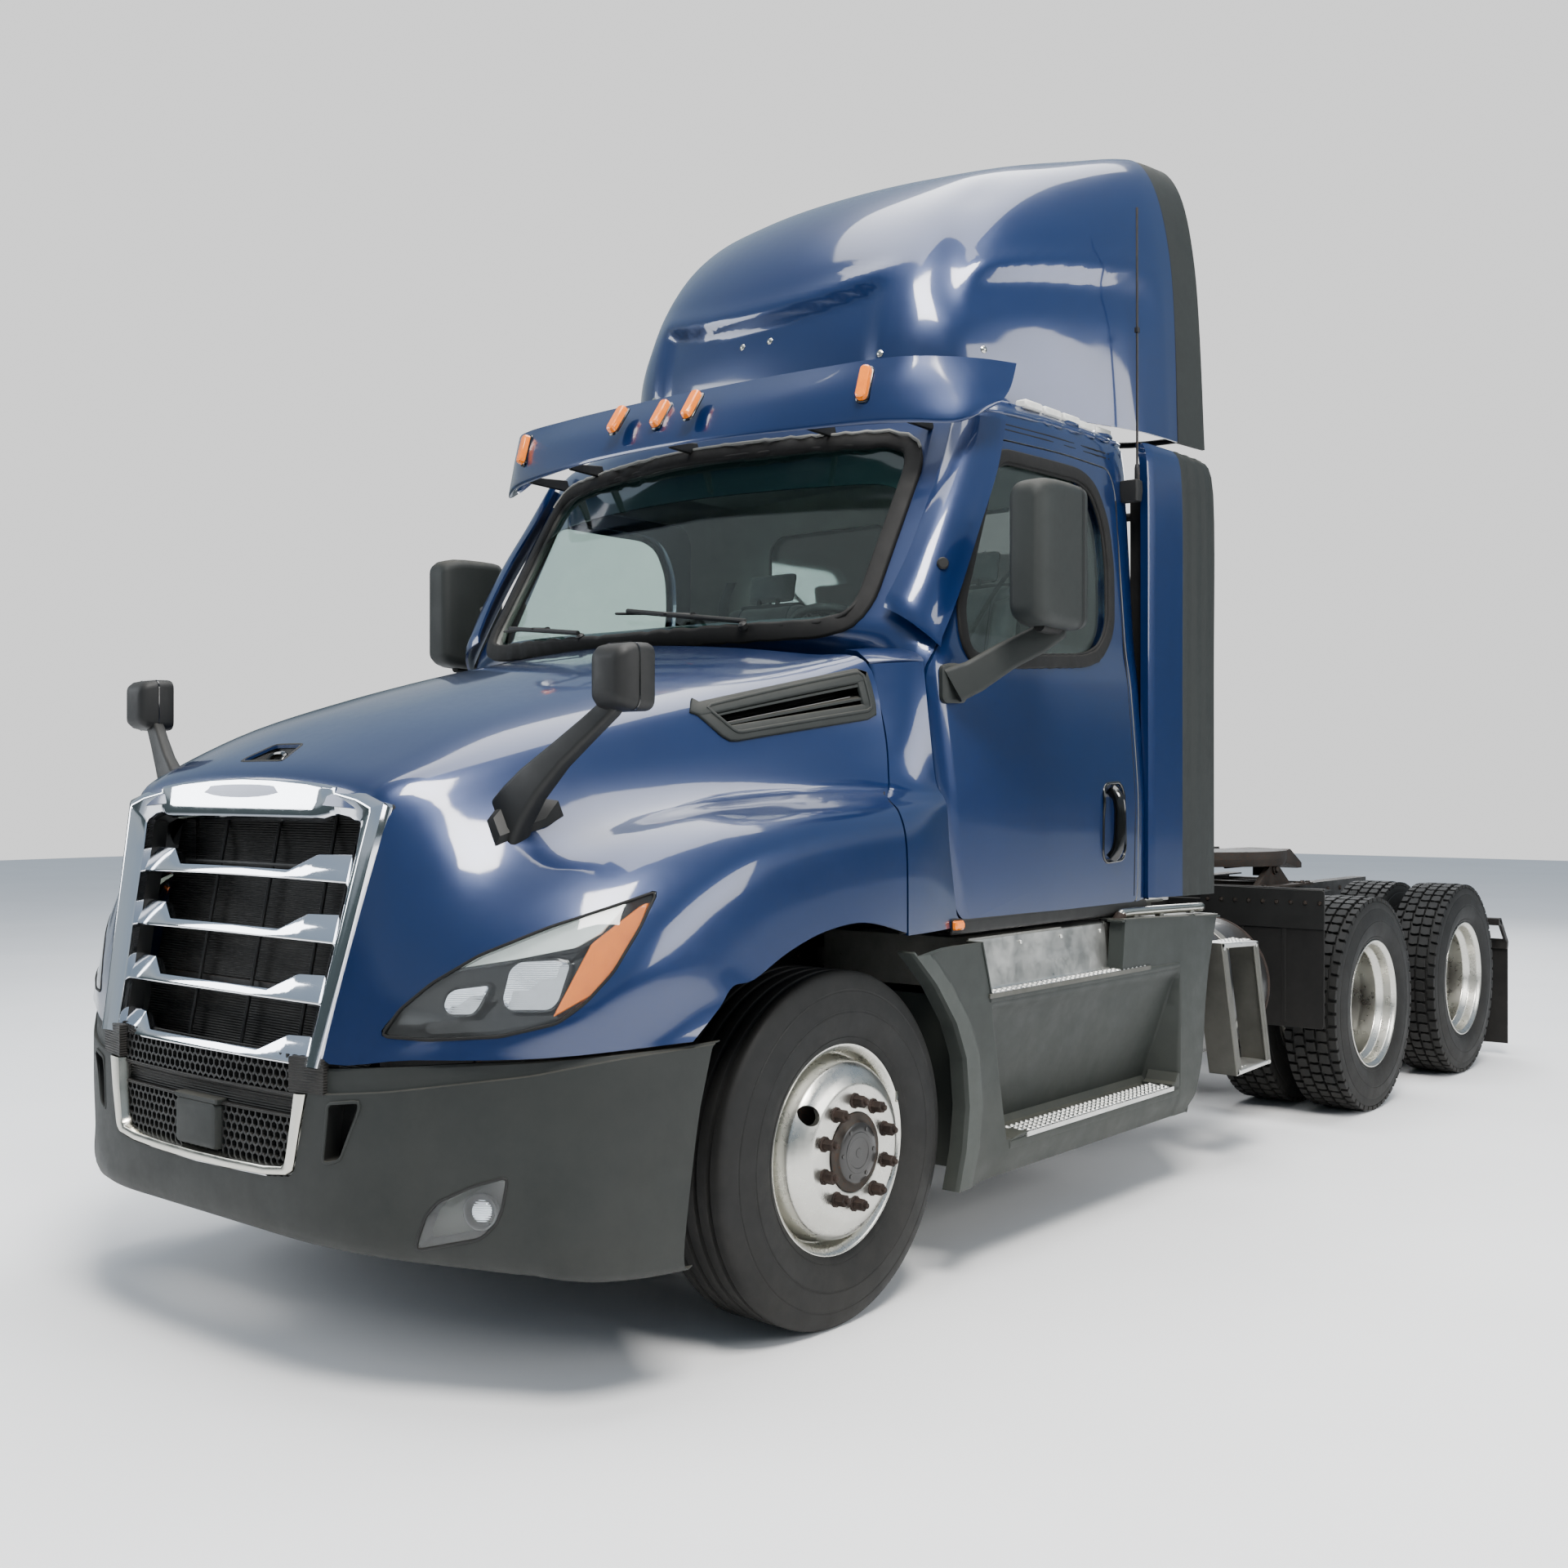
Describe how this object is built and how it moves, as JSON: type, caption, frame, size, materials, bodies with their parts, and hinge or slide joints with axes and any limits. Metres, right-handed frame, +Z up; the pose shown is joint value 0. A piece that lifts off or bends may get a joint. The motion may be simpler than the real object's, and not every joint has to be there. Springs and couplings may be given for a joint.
{
  "type": "semi truck tractor unit",
  "caption": "Conventional day-cab highway tractor with tilting hood, opening doors, steering, roof fairing, tandem drive axles and fifth wheel.",
  "frame": {"origin": "on the ground under the middle of the truck's overall length, on its centre line", "axes": "+X the truck's left-hand side, -Y the front, +Y the rear, +Z up"},
  "size_m": [2.9, 7.4, 3.9982],
  "materials": {
    "blue_paint": "gloss metallic dark blue",
    "charcoal_plastic": "grained charcoal moulding",
    "black_plastic": "matt black moulding",
    "frame_black": "satin black chassis paint",
    "tank_black": "semi-gloss black",
    "radiator_black": "matt black",
    "engine": "painted casting",
    "cast_iron": "greased dark casting",
    "chrome": "polished",
    "aluminium": "brushed",
    "wheel_alloy": "machined and polished",
    "tyre": "worn rubber",
    "black_rubber": "matt",
    "glass": "clear, light tint",
    "lamp_lens": "clear lens over reflectors",
    "seat_fabric": "woven grey",
    "interior_plastic": "grained dark grey"
  },
  "bodies": {
    "chassis": {"frame_rails": "frame_black", "engine_block": "engine", "radiator": "radiator_black", "front_axle": "frame_black", "suspension": "frame_black", "drive_axles": "frame_black", "bumper": "charcoal_plastic", "lower_grille": "black_plastic", "cab": "blue_paint", "windshield": "glass", "rear_windows": "glass", "sun_visor": "blue_paint", "roof_fairing": "blue_paint", "side_extenders": "blue_paint", "side_skirts": "charcoal_plastic", "steps": "aluminium", "fuel_tanks": "tank_black", "battery_boxes": "aluminium", "air_tanks": "tank_black", "deck_plate": "aluminium", "quarter_fenders": "black_plastic", "mud_flaps": "black_rubber", "fifth_wheel_base": "frame_black", "seats": "seat_fabric", "dashboard": "interior_plastic", "antenna": "black_plastic"},
    "hood": {"hood": "blue_paint", "grille": "chrome", "headlamps": "lamp_lens", "hood_mirrors": "black_plastic"},
    "left_door": {"left_door": "blue_paint", "left_door_glass": "glass", "left_mirror": "charcoal_plastic"},
    "right_door": {"right_door": "blue_paint", "right_door_glass": "glass", "right_mirror": "charcoal_plastic"},
    "left_knuckle": {"left_knuckle": "cast_iron"},
    "right_knuckle": {"right_knuckle": "cast_iron"},
    "front_left_wheel": {"front_left_wheel": "wheel_alloy", "front_left_tyre": "tyre"},
    "front_right_wheel": {"front_right_wheel": "wheel_alloy", "front_right_tyre": "tyre"},
    "mid_left_wheels": {"mid_left_wheels": "wheel_alloy", "mid_left_tyres": "tyre"},
    "mid_right_wheels": {"mid_right_wheels": "wheel_alloy", "mid_right_tyres": "tyre"},
    "rear_left_wheels": {"rear_left_wheels": "wheel_alloy", "rear_left_tyres": "tyre"},
    "rear_right_wheels": {"rear_right_wheels": "wheel_alloy", "rear_right_tyres": "tyre"},
    "fifth_wheel": {"fifth_wheel_plate": "cast_iron"},
    "steering_wheel": {"steering_wheel": "interior_plastic"}
  },
  "joints": [
    {"name": "steer_left", "type": "hinge", "parent": "chassis", "child": "left_knuckle", "pos_m": [0.88, -2.4, 0.5], "axis": [0, 0, 1], "range_deg": [-38, 38]},
    {"name": "steer_right", "type": "hinge", "parent": "chassis", "child": "right_knuckle", "pos_m": [-0.88, -2.4, 0.5], "axis": [0, 0, 1], "range_deg": [-38, 38]},
    {"name": "front_left_spin", "type": "hinge", "parent": "left_knuckle", "child": "front_left_wheel", "pos_m": [1.035, -2.4, 0.5], "axis": [1, 0, 0], "continuous": true},
    {"name": "front_right_spin", "type": "hinge", "parent": "right_knuckle", "child": "front_right_wheel", "pos_m": [-1.035, -2.4, 0.5], "axis": [1, 0, 0], "continuous": true},
    {"name": "mid_left_spin", "type": "hinge", "parent": "chassis", "child": "mid_left_wheels", "pos_m": [0.905, 1.64, 0.5], "axis": [1, 0, 0], "continuous": true},
    {"name": "mid_right_spin", "type": "hinge", "parent": "chassis", "child": "mid_right_wheels", "pos_m": [-0.905, 1.64, 0.5], "axis": [1, 0, 0], "continuous": true},
    {"name": "rear_left_spin", "type": "hinge", "parent": "chassis", "child": "rear_left_wheels", "pos_m": [0.905, 2.96, 0.5], "axis": [1, 0, 0], "continuous": true},
    {"name": "rear_right_spin", "type": "hinge", "parent": "chassis", "child": "rear_right_wheels", "pos_m": [-0.905, 2.96, 0.5], "axis": [1, 0, 0], "continuous": true},
    {"name": "steering_wheel_turn", "type": "hinge", "parent": "chassis", "child": "steering_wheel", "pos_m": [0.5, -1.495, 2.01], "axis": [0, 0.5299, 0.848], "range_deg": [-760, 760]},
    {"name": "hood_tilt", "type": "hinge", "parent": "chassis", "child": "hood", "pos_m": [0, -3.622, 0.7], "axis": [1, 0, 0], "range_deg": [0, 50]},
    {"name": "left_door_swing", "type": "hinge", "parent": "chassis", "child": "left_door", "pos_m": [1.152, -1.892, 1.5], "axis": [0, 0, -1], "range_deg": [0, 68]},
    {"name": "right_door_swing", "type": "hinge", "parent": "chassis", "child": "right_door", "pos_m": [-1.152, -1.892, 1.5], "axis": [0, 0, 1], "range_deg": [0, 68]},
    {"name": "fifth_wheel_rock", "type": "hinge", "parent": "chassis", "child": "fifth_wheel", "pos_m": [0, 2.3, 1.082], "axis": [1, 0, 0], "range_deg": [-12, 12]}
  ],
  "couplings": [
    {"joint": "steer_right", "follows": "steer_left", "ratio": 1},
    {"joint": "steering_wheel_turn", "follows": "steer_left", "ratio": 20}
  ]
}
